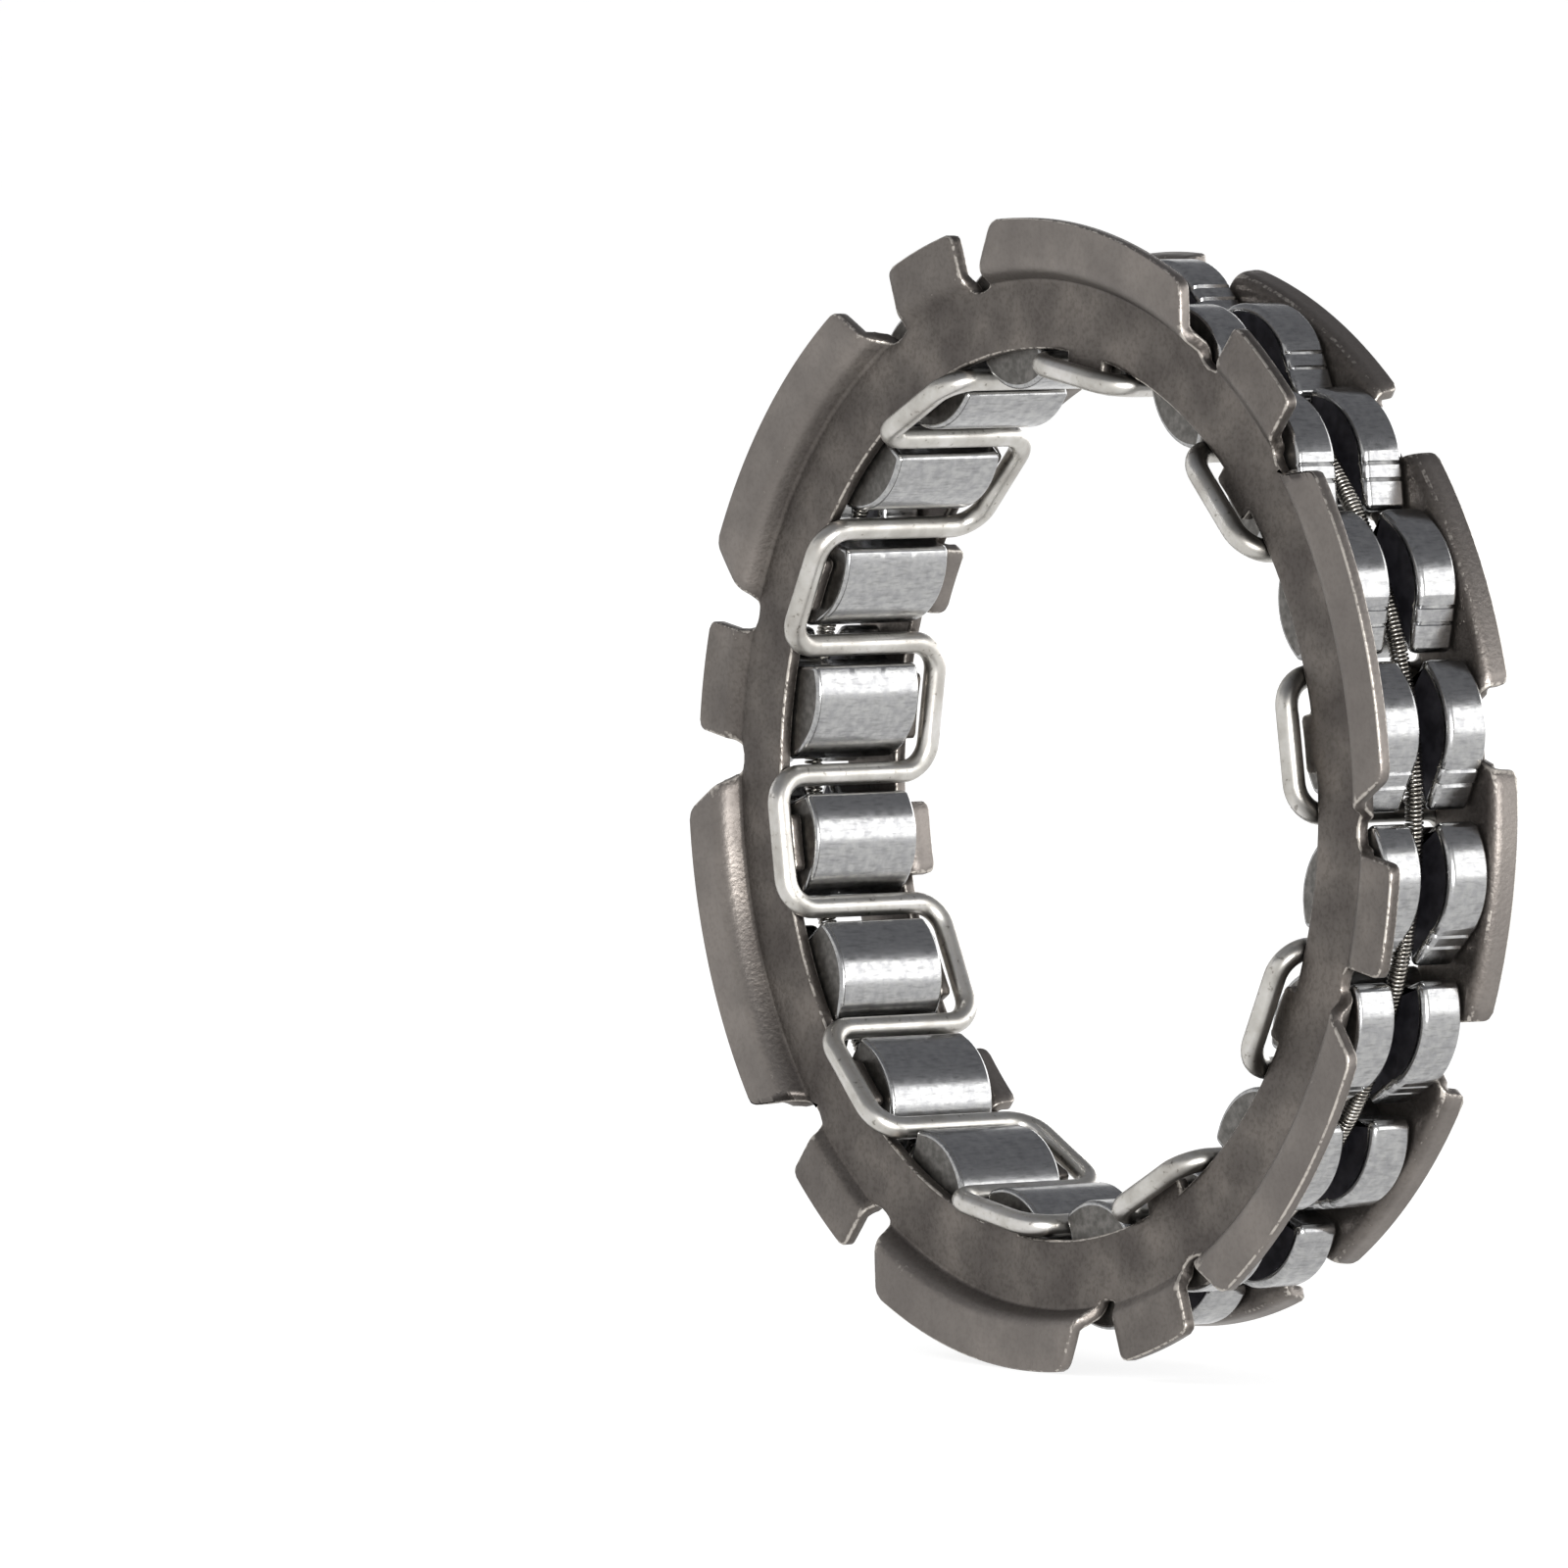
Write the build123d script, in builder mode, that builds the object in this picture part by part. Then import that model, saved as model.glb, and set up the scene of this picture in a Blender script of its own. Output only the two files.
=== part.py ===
from build123d import *
import math
import os

os.makedirs("parts", exist_ok=True)

# A sprag clutch cartridge in millimetres and degrees. The ring axis is Y and the
# front face looks toward -Y. Angles run from +X toward +Z, anticlockwise as seen
# from the front. The origin is the middle of the ring on its axis.

# Races that the cartridge runs between
inner_race_radius = 25.0
race_space = 8.33
foot_clearance = 0.05
crest_clearance = 0.2

# Numbers of sprags and of lugs on the front ring, which stand in pairs
sprag_pairs = 10
lug_pairs = 6

# Sprags: a cam foot on the inner race, a waist, and a wide head at the outer race
sprag_length = 7.9
foot_radius = 4.45
foot_offset = 0.6
foot_half_width = 3.0
foot_edge_radius = 0.5
waist_height = 4.0
waist_half_width = 2.5
waist_radius = 1.2
head_radius = 5.2
head_offset = -0.6
head_back_reach = 4.1
head_back_drop = 2.2
head_front_reach = 4.5
head_front_drop = 2.75
head_edge_radius = 0.45
facet_start = 1.9
facet_edge_radius = 0.8
sprag_end_chamfer = 0.15

# Shallow lines along the facet of each sprag
mark_places = (2.45, 3.25)
mark_width = 0.24

# Garter spring, and the groove that it lies in
spring_coil_diameter = 1.2
spring_floor_clearance = 0.25
groove_width = 2.0
groove_floor_height = 4.75
groove_floor_radius = 4.0

# Bent wire that parts the sprags and joins the two rings
wire_diameter = 1.4
wire_race_gap = 0.9
wire_corner_radius = 1.9
wire_ring_clearance = 0.1
wire_loop_clearance = 0.22

# Sheet of both rings
sheet = 0.8
bend_radius = 0.3
end_clearance = 0.15
tongue_reach = 1.0
tongue_corner_radius = 0.3

# Front ring: a flat land, then long and short lugs that step forward and out
front_land = 4.25
front_reach = 8.05
lug_first_angle = 20.0
short_lug_root_angle = 12.8
short_lug_tip_angle = 11.3
notch_root_angle = 3.8
notch_tip_angle = 8.45
notch_depth = 4.0
notch_root_radius = 0.8
lug_corner_radius = 0.6
long_lug_step = 1.4
long_lug_ramp = 0.75
short_lug_step = 0.6
short_lug_ramp = 0.8
front_tongue_angle = 7.6

# Rear ring: a flat land with short flared lugs, tongues and upright flaps
rear_land = 4.84
rear_gap_depth = 4.1
rear_lug_flare = 0.96
rear_lug_height = 1.8
rear_lug_root_angle = 29.8
rear_lug_tip_angle = 25.8
rear_lug_corner_radius = 0.6
rear_tongue_angle = 9.0
flap_angle = 9.8
flap_height = 1.2
flap_corner_radius = 0.6

# Places that follow from those sizes
sprag_count = 2 * sprag_pairs
sprag_pitch = 360 / sprag_count
lug_pitch = 360 / lug_pairs
outer_race_radius = inner_race_radius + race_space
foot_level = inner_race_radius + foot_clearance
crest_level = outer_race_radius - crest_clearance
wire_radius = inner_race_radius + wire_race_gap + wire_diameter / 2
ring_bore = wire_radius + wire_diameter / 2 + wire_ring_clearance
ring_inner_face = sprag_length / 2 + end_clearance
ring_outer_face = ring_inner_face + sheet
wire_loop_place = ring_outer_face + wire_loop_clearance + wire_diameter / 2
groove_floor = inner_race_radius + groove_floor_height
spring_radius = groove_floor + spring_floor_clearance + spring_coil_diameter / 2
ring_axis = Axis((0, 0, 0), (0, -1, 0))


def polar(radius, angle):
    """Point of the ring plane at a radius and an angle from +X toward +Z."""
    turn = math.radians(angle)
    return (radius * math.cos(turn), radius * math.sin(turn))


def radial_plane(angle):
    """Plane through the ring axis: its x runs outward and its y runs to the rear."""
    out_x, out_z = polar(1, angle)
    return Plane(origin=(0, 0, 0), x_dir=(out_x, 0, out_z), z_dir=(-out_z, 0, out_x))


def sprag_plane(angle):
    """Plane across a sprag: its x runs clockwise and its y runs outward."""
    out_x, out_z = polar(1, angle)
    return Plane(origin=(0, 0, 0), x_dir=(out_z, 0, -out_x), z_dir=(0, -1, 0))


def formed_sheet(stations, bends, side):
    """Section of a formed sheet. The stations lie on one face of it, and the
    sheet lies to the left or right of the way that they run."""
    with BuildSketch() as section:
        with BuildLine():
            face_line = FilletPolyline(*stations, radius=bends)
            offset(face_line, amount=sheet, side=side, mode=Mode.ADD)
        make_face()
    return section.sketch


def on_circle(vertex, radius):
    """Whether a corner of a plan lies on a circle about the axis."""
    return abs(math.hypot(vertex.X, vertex.Y) - radius) < 0.01


def toothed_plan(teeth, root_radius, root_round, tip_round):
    """Plan of a round edge with teeth. Each tooth is its middle angle, its width
    at the root and at the tip in degrees, and its tip radius."""
    with BuildSketch() as plan:
        with BuildLine():
            for index, (middle, root_angle, tip_angle, tip_radius) in enumerate(teeth):
                following = teeth[(index + 1) % len(teeth)]
                root_end = middle + root_angle / 2
                next_start = following[0] - following[1] / 2
                if next_start < root_end:
                    next_start += 360
                first = polar(root_radius, middle - root_angle / 2)
                second = polar(tip_radius, middle - tip_angle / 2)
                third = polar(tip_radius, middle + tip_angle / 2)
                fourth = polar(root_radius, root_end)
                Line(first, second)
                ThreePointArc(second, polar(tip_radius, middle), third)
                Line(third, fourth)
                halfway = polar(root_radius, (root_end + next_start) / 2)
                ThreePointArc(fourth, halfway, polar(root_radius, next_start))
        make_face()
        tip_corners = plan.vertices().filter_by(lambda v: not on_circle(v, root_radius))
        fillet(tip_corners, tip_round)
        if root_round:
            fillet(plan.vertices().filter_by(lambda v: on_circle(v, root_radius)), root_round)
    return plan.sketch


# Front ring
long_lug_root_angle = lug_pitch - short_lug_root_angle - 2 * notch_root_angle
long_lug_tip_angle = lug_pitch - short_lug_tip_angle - 2 * notch_tip_angle
front_crease = ring_bore + front_land
front_tip = ring_bore + front_reach
notch_root = ring_bore + notch_depth
tongue_tip = ring_bore - tongue_reach
blank_bore = tongue_tip - sheet
blank_edge = front_tip + sheet

front_lugs = []
front_sectors = []
for pair in range(lug_pairs):
    long_middle = lug_first_angle + pair * lug_pitch
    short_middle = long_middle + lug_pitch / 2
    front_lugs.append((long_middle, long_lug_root_angle, long_lug_tip_angle, front_tip))
    front_lugs.append((short_middle, short_lug_root_angle, short_lug_tip_angle, front_tip))
    long_width = long_lug_root_angle + notch_root_angle
    short_width = short_lug_root_angle + notch_root_angle
    front_sectors.append((long_middle, long_width, long_lug_step, long_lug_ramp))
    front_sectors.append((short_middle, short_width, short_lug_step, short_lug_ramp))

front_tongues = []
for pair in range(sprag_pairs):
    middle = (2 * pair + 0.5) * sprag_pitch
    front_tongues.append((middle, front_tongue_angle, front_tongue_angle, tongue_tip))

with BuildPart() as front_ring:
    for middle, width, step, ramp in front_sectors:
        with BuildSketch(radial_plane(middle - width / 2)):
            add(
                formed_sheet(
                    [
                        (blank_bore, -ring_outer_face),
                        (front_crease, -ring_outer_face),
                        (front_crease + ramp, -ring_outer_face - step),
                        (blank_edge, -ring_outer_face - step),
                    ],
                    [bend_radius, bend_radius + sheet],
                    Side.LEFT,
                )
            )
        revolve(axis=ring_axis, revolution_arc=width)
    with BuildSketch(Plane.XZ):
        add(toothed_plan(front_lugs, notch_root, notch_root_radius, lug_corner_radius))
        add(toothed_plan(front_tongues, ring_bore, 0, tongue_corner_radius), mode=Mode.SUBTRACT)
    extrude(amount=2 * ring_outer_face, both=True, mode=Mode.INTERSECT)
front_ring.part.label = "front_ring"
export_step(front_ring.part, "parts/front_ring.step")

# Rear ring
rear_crease = ring_bore + rear_land
rear_tip = rear_crease + rear_lug_flare
rear_gap = ring_bore + rear_gap_depth
rear_edge = rear_tip + sheet

rear_lugs = []
rear_tongues = []
flap_middles = []
for pair in range(sprag_pairs):
    bare_middle = (2 * pair + 0.5) * sprag_pitch
    loop_middle = bare_middle + sprag_pitch
    flap_middles.append(bare_middle)
    rear_lugs.append((loop_middle, rear_lug_root_angle, rear_lug_tip_angle, rear_edge))
    rear_tongues.append((loop_middle, rear_tongue_angle, rear_tongue_angle, tongue_tip))

flap_face = ring_bore - sheet
flap_top = ring_outer_face + flap_height
flap_root = ring_bore + 2 * sheet

with BuildPart() as flap:
    with BuildSketch(radial_plane(-flap_angle / 2)):
        add(
            formed_sheet(
                [
                    (flap_root, ring_inner_face),
                    (flap_face, ring_inner_face),
                    (flap_face, flap_top),
                ],
                [bend_radius + sheet],
                Side.RIGHT,
            )
        )
    revolve(axis=ring_axis, revolution_arc=flap_angle)
    top_face = flap.faces().sort_by(Axis.Y)[-1]
    fillet(top_face.edges().filter_by(GeomType.LINE), flap_corner_radius)

with BuildPart() as rear_ring:
    with BuildSketch(radial_plane(0)):
        add(
            formed_sheet(
                [
                    (blank_bore, ring_inner_face),
                    (rear_crease, ring_inner_face),
                    (rear_tip, ring_inner_face + rear_lug_height),
                ],
                [bend_radius + sheet],
                Side.LEFT,
            )
        )
    revolve(axis=ring_axis)
    with BuildSketch(Plane.XZ):
        add(toothed_plan(rear_lugs, rear_gap, 0, rear_lug_corner_radius))
        add(toothed_plan(rear_tongues, ring_bore, 0, tongue_corner_radius), mode=Mode.SUBTRACT)
    extrude(amount=2 * ring_outer_face, both=True, mode=Mode.INTERSECT)
    for middle in flap_middles:
        add(flap.part.rotate(ring_axis, middle))
rear_ring.part.label = "rear_ring"
export_step(rear_ring.part, "parts/rear_ring.step")

# Serpentine wire: one straight leg between each two sprags, joined in turn by a
# loop over the front ring and a loop over the rear ring
wire_corners = []
for leg in range(sprag_count):
    leg_x, leg_z = polar(wire_radius, leg * sprag_pitch)
    to_front = leg % 2 == 0
    start_place = wire_loop_place if to_front else -wire_loop_place
    wire_corners.append((leg_x, start_place, leg_z))
    wire_corners.append((leg_x, -start_place, leg_z))

with BuildPart() as serpentine_wire:
    with BuildLine() as wire_path:
        FilletPolyline(*wire_corners, radius=wire_corner_radius, close=True)
    with BuildSketch(Plane.XZ):
        with Locations(polar(wire_radius, 0)):
            Circle(wire_diameter / 2)
    sweep(path=wire_path.wire())
serpentine_wire.part.label = "serpentine_wire"
export_step(serpentine_wire.part, "parts/serpentine_wire.step")

# Garter spring: its close coil is a plain ring here
with BuildPart() as garter_spring:
    with BuildSketch(radial_plane(0)):
        with Locations((spring_radius, 0)):
            Circle(spring_coil_diameter / 2)
    revolve(axis=ring_axis)
garter_spring.part.label = "garter_spring"
export_step(garter_spring.part, "parts/garter_spring.step")

# Sprags
foot_centre = foot_level + foot_radius
head_centre = crest_level - head_radius
waist_level = inner_race_radius + waist_height
back_top = head_centre + math.sqrt(head_radius**2 - (head_back_reach + head_offset) ** 2)
back_corner = (-head_back_reach, back_top)
back_edge = (-head_back_reach, crest_level - head_back_drop)
front_edge = (head_front_reach, crest_level - head_front_drop)
facet_top = (
    facet_start,
    head_centre + math.sqrt(head_radius**2 - (facet_start - head_offset) ** 2),
)
foot_back = (
    -foot_half_width,
    foot_centre - math.sqrt(foot_radius**2 - (foot_half_width + foot_offset) ** 2),
)
foot_front = (
    foot_half_width,
    foot_centre - math.sqrt(foot_radius**2 - (foot_half_width - foot_offset) ** 2),
)
facet_slope = (front_edge[1] - facet_top[1]) / (front_edge[0] - facet_top[0])
facet_tilt = math.degrees(math.atan(facet_slope))
groove_bottom = waist_level - waist_radius

for number in range(1, sprag_count + 1):
    plane = sprag_plane((number - 0.5) * sprag_pitch)
    with BuildPart() as sprag:
        with BuildSketch(plane) as section:
            with BuildLine():
                ThreePointArc(foot_back, (foot_offset, foot_level), foot_front)
                Line(foot_front, (waist_half_width, waist_level))
                Line((waist_half_width, waist_level), front_edge)
                Line(front_edge, facet_top)
                ThreePointArc(facet_top, (head_offset, crest_level), back_corner)
                Line(back_corner, back_edge)
                Line(back_edge, (-waist_half_width, waist_level))
                Line((-waist_half_width, waist_level), foot_back)
            make_face()
            fillet(section.vertices().sort_by(Axis.Y)[-1], facet_edge_radius)
            fillet(section.vertices().sort_by(Axis.Y)[4:7], head_edge_radius)
            fillet(section.vertices().sort_by(Axis.Y)[2:4], waist_radius)
            fillet(section.vertices().sort_by(Axis.Y)[0:2], foot_edge_radius)
        extrude(amount=sprag_length / 2, both=True)
        chamfer(sprag.faces().filter_by(Axis.Y).edges(), sprag_end_chamfer)
        with BuildSketch(plane):
            for place in mark_places:
                mark_level = facet_top[1] + (place - facet_start) * facet_slope
                with Locations(Location((place, mark_level), facet_tilt + 45)):
                    Rectangle(mark_width / math.sqrt(2), mark_width / math.sqrt(2))
        extrude(amount=sprag_length, both=True, mode=Mode.SUBTRACT)
        with BuildSketch(plane):
            with Locations((0, (groove_bottom + outer_race_radius) / 2)):
                Rectangle(4 * head_front_reach, outer_race_radius - groove_bottom)
            with Locations((0, groove_floor - groove_floor_radius)):
                Circle(groove_floor_radius, mode=Mode.SUBTRACT)
        extrude(amount=groove_width / 2, both=True, mode=Mode.SUBTRACT)
    sprag_name = f"sprag_{number:02d}"
    sprag.part.label = sprag_name
    export_step(sprag.part, f"parts/{sprag_name}.step")
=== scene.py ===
import math

import bpy
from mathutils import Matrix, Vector


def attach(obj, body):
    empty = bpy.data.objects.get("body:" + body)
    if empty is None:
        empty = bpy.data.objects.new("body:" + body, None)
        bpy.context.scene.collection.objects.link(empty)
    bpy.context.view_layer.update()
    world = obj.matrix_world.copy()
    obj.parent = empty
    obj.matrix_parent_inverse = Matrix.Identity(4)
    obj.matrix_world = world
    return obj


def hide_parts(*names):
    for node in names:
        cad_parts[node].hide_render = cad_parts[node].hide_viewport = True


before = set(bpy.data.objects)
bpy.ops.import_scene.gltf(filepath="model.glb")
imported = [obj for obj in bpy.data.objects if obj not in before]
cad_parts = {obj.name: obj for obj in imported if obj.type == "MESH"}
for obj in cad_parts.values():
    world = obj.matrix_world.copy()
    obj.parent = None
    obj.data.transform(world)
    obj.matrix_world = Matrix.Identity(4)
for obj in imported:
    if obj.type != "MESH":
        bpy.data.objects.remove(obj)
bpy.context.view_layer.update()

# Front ring: a washer of carbon steel sheet, pressed so that six long and six short
# lugs step forward and outward. Blanking rolls its edges a little, and tumbling with
# stones leaves a dull, finely pitted grey-brown skin with light, worn edges.
MM = 0.001
SPRAG_PAIRS = 10
SPRAG_PITCH = 180 / SPRAG_PAIRS

SHEET = 0.8
BEND = 0.3
EDGE_ROLL = 0.09
RING_FACE = 4.9
RING_BACK = RING_FACE - SHEET
RING_BORE = 27.4
BORE_STRIP = 27.7
TONGUE_TIP = 26.4
TONGUE_CORNER = 0.3
LAND_ROWS = [28.4, 29.2, 30.0, 30.8]
TONGUE_ROWS = [27.1, 26.85, 26.7, 26.55]
COLUMN_STEP = 1.5
ROW_STEP = 0.15
ARC_STEPS = 6
SAME_PLACE = 0.01

LUG_PITCH = 60
FIRST_LUG = 20.0
NOTCH_ROOT = 31.4
NOTCH_ROUND = 0.8
LUG_TIP = 35.45
LUG_CORNER = 0.55
FRONT_CREASE = 31.65
LONG_LUG = {"root": 19.8, "tip": 15.9, "ramp": 0.75, "step": 1.4}
SHORT_LUG = {"root": 6.4, "tip": 5.65, "ramp": 0.8, "step": 0.6}
# The bend that stands out on the front lugs, and how pale it is painted: partly wear, partly painted
# highlight.
FRONT_RIDGE = (32.2, 32.9, 0.68)
FRONT_TONGUE = 3.8

CLOUD = 4.167
PIT = 0.2778
PIT_DEPTH = 0.035
# Where along the axis the paleness starts and is full, and how pale. The lips grow paler partly as wear
# and partly as painted light; the rear lugs and flaps grow paler as painted light.
LIP_WEAR_AND_LIGHT = (5.1, 5.9, 0.35)
REAR_PAINTED_LIGHT = (4.3, 5.0, 0.42)


def linear(code):
    """The linear colour of an sRGB hex value."""
    parts = [int(code[i:i + 2], 16) / 255 for i in (1, 3, 5)]
    curve = [p / 12.92 if p <= 0.04045 else ((p + 0.055) / 1.055) ** 2.4 for p in parts]
    return (*curve, 1.0)


def add_node(tree, kind, settings=None, links=None):
    """Adds a node, with its settings, and with its inputs set to values or sockets."""
    node = tree.nodes.new(kind)
    for name, value in (settings or {}).items():
        setattr(node, name, value)
    for name, value in (links or {}).items():
        if isinstance(value, bpy.types.NodeSocket):
            tree.links.new(value, node.inputs[name])
        else:
            node.inputs[name].default_value = value
    return node


def fill_ramp(ramp, *stops):
    """Gives a colour ramp its stops, each a position and an sRGB hex value."""
    elements = ramp.color_ramp.elements
    while len(elements) < len(stops):
        elements.new(0.5)
    for element, (position, code) in zip(elements, stops):
        element.position = position
        element.color = linear(code)


def bent_path(stations, radii, step):
    """Rows along a bent line: the place, and the way to its left. The line turns at
    its stations on arcs."""
    pieces = []
    start = Vector(stations[0])
    for corner, after, radius in zip(stations[1:-1], stations[2:], radii):
        corner, after = Vector(corner), Vector(after)
        into, out = (corner - Vector(start)).normalized(), (after - corner).normalized()
        turn = -into.angle_signed(out)
        reach = radius * math.tan(abs(turn) / 2)
        pieces.append((start, corner - into * reach, into, 0.0, 0.0))
        pieces.append((corner - into * reach, None, into, radius, turn))
        start = corner + out * reach
    last = Vector(stations[-1])
    pieces.append((start, last, (last - start).normalized(), 0.0, 0.0))
    rows = []
    for first, end, way, radius, turn in pieces:
        if end is None:
            side = Vector((-way.y, way.x)) * math.copysign(radius, turn)
            for i in range(ARC_STEPS + 1):
                c, s = math.cos(turn * i / ARC_STEPS), math.sin(turn * i / ARC_STEPS)
                spoke = Vector((-side.x * c + side.y * s, -side.x * s - side.y * c))
                heading = Vector((way.x * c - way.y * s, way.x * s + way.y * c))
                rows.append((first + side + spoke, heading))
        else:
            count = max(1, math.ceil((end - first).length / step))
            rows += [(first.lerp(end, i / count), way) for i in range(count + 1)]
    kept = []
    for place, way in rows:
        if not kept or (place - kept[-1][0]).length > SAME_PLACE:
            kept.append((place, Vector((-way.y, way.x))))
    return kept


def drawn_in(left, radius):
    """How far a rounded corner draws a side in, at a distance left to its end."""
    if left >= radius:
        return 0.0
    return radius - math.sqrt(max(0.0, radius**2 - (radius - left) ** 2))


class Blank:
    """One face of a formed sheet, with the way through the sheet at each point.
    Patches that meet share their points."""

    def __init__(self, features, step):
        edges = sorted({round((m + side * h) % 360, 3) for m, h in features for side in (-1, 1)})
        self.columns = []
        for first, last in zip(edges, edges[1:] + [edges[0] + 360]):
            count = max(1, round((last - first) / step))
            self.columns += [round(first + (last - first) * i / count, 3) for i in range(count)]
        self.points = []
        self.through = []
        self.wear_and_painted_light = []
        self.faces = []
        self.found = {}

    def point(self, angle, row):
        radius, place, out, back, *ridge = row
        key = (round(radius, 3), round(place, 3), round(angle % 360, 3) % 360)
        if key not in self.found:
            c, s = math.cos(math.radians(angle)), math.sin(math.radians(angle))
            self.found[key] = len(self.points)
            self.points.append(Vector((radius * c, place, radius * s)))
            self.through.append(Vector((out * c, back, out * s)))
            self.wear_and_painted_light.append(sum(ridge))
        return self.found[key]

    def patch(self, middle, half, rows, shares=None):
        """Faces between two angles, over rows of radius, place along the axis, the two parts of the way
        through the sheet and, on a ridge, how pale it is painted: partly wear and partly painted
        highlight. A share narrows the patch at its row."""
        laps = sorted(c + lap for lap in (-360, 0, 360) for c in self.columns)
        reach = half + SAME_PLACE
        columns = [c for c in laps if middle - reach < c < middle + reach]
        grid = []
        for row, share in zip(rows, shares or [1.0] * len(rows)):
            grid.append([self.point(middle + (c - middle) * share, row) for c in columns])
        for low, high in zip(grid, grid[1:]):
            for i in range(len(columns) - 1):
                face = [low[i], low[i + 1], high[i + 1], high[i]]
                side = self.points[face[1]] - self.points[face[0]]
                rise = self.points[face[3]] - self.points[face[0]]
                if side.cross(rise).dot(self.through[face[0]]) > 0:
                    face.reverse()
                self.faces.append(face)

    def full_circle(self, rows):
        """Faces all the way round."""
        self.patch(self.columns[0] + 180, 180, rows)

    def mesh(self, name):
        """The closed sheet, with its cut edges rolled over on both faces."""
        count = len(self.points)
        directed = set()
        for face in self.faces:
            directed.update(zip(face, face[1:] + face[:1]))
        rim = [(a, b) for a, b in sorted(directed) if (b, a) not in directed]
        outward = {}
        for a, b in rim:
            along = (self.points[b] - self.points[a]).normalized()
            for end in (a, b):
                way = self.through[end].cross(along)
                outward[end] = outward.get(end, Vector((0, 0, 0))) + way
        verts = [p.copy() for p in self.points]
        for corner, way in outward.items():
            verts[corner] -= way.normalized() * EDGE_ROLL
        verts += [v + t * SHEET for v, t in zip(verts, self.through)]
        walls = {}
        middles = []
        for corner in outward:
            walls[corner] = len(verts)
            middles.append(len(verts) + 1)
            for depth in (EDGE_ROLL, SHEET / 2, SHEET - EDGE_ROLL):
                verts.append(self.points[corner] + self.through[corner] * depth)
        faces = [list(f) for f in self.faces]
        faces += [[i + count for i in reversed(f)] for f in self.faces]
        for a, b in rim:
            chain_a = (a, walls[a], walls[a] + 1, walls[a] + 2, a + count)
            chain_b = (b, walls[b], walls[b] + 1, walls[b] + 2, b + count)
            for i in range(4):
                faces.append([chain_b[i], chain_a[i], chain_a[i + 1], chain_b[i + 1]])
        mesh = bpy.data.meshes.new(name)
        mesh.from_pydata([v * MM for v in verts], [], faces)
        # Pale rims where the stones wore the edges, and pale ridges painted partly as wear and partly as
        # painted highlight.
        paler_by_wear_and_light = mesh.attributes.new("worn_edge_and_highlight", "FLOAT", "POINT")
        rolled = set(outward) | {c + count for c in outward} | set(range(2 * count, len(verts)))
        for index, value in enumerate(self.wear_and_painted_light):
            paler_by_wear_and_light.data[index].value = value
        for index in rolled - set(middles):
            paler_by_wear_and_light.data[index].value = 1.0
        return mesh


def smooth(piece):
    """Shades a piece smoothly, led by its larger faces, with its sharp edges kept."""
    piece.data.shade_smooth()
    weights = piece.modifiers.new("face weights", "WEIGHTED_NORMAL")
    weights.keep_sharp = True


def flat_rows(radii, place, back):
    """Rows of a flat land, with the sheet toward the front or the rear of it."""
    return [(radius, place, 0.0, back) for radius in radii]


def add_lug(blank, middle, path, root, tip, ridge, root_round=0.0, tip_round=0.0):
    """A lug over a path. Root and tip are each a radius and a half angle there. The ridge is the lowest
    and highest radius of the bend that stands out, and how pale it is painted, partly as wear and partly
    as painted highlight."""
    lengths = [0.0]
    for (a, _), (b, _) in zip(path, path[1:]):
        lengths.append(lengths[-1] + (b - a).length)
    halves = []
    for (place, _), length in zip(path, lengths):
        share = (place.x - root[0]) / (tip[0] - root[0])
        flare = drawn_in(place.x - root[0], root_round) if root_round else 0.0
        pinch = drawn_in(lengths[-1] - length, tip_round) if tip_round else 0.0
        halves.append(root[1] + (tip[1] - root[1]) * share + math.degrees((flare - pinch) / place.x))
    rows = []
    for place, left in path:
        wear_and_painted_light = ridge[2] if ridge[0] < place.x < ridge[1] else 0.0
        rows.append((place.x, place.y, left.x, left.y, wear_and_painted_light))
    blank.patch(middle, halves[0], rows, [half / halves[0] for half in halves])


def add_tongue(blank, middle, half, place, back):
    """A tongue inward from the bore, with rounded corners."""
    radii = [BORE_STRIP, RING_BORE, *TONGUE_ROWS, TONGUE_TIP]
    shares = []
    for radius in radii:
        pinch = math.degrees(drawn_in(radius - TONGUE_TIP, TONGUE_CORNER) / radius)
        shares.append((half - pinch) / half)
    blank.patch(middle, half, flat_rows(radii, place, back), shares)


def noise_scale(size):
    """The scale of a noise whose marks are about as wide as a size in millimetres."""
    return 1 / (size * MM)


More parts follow.
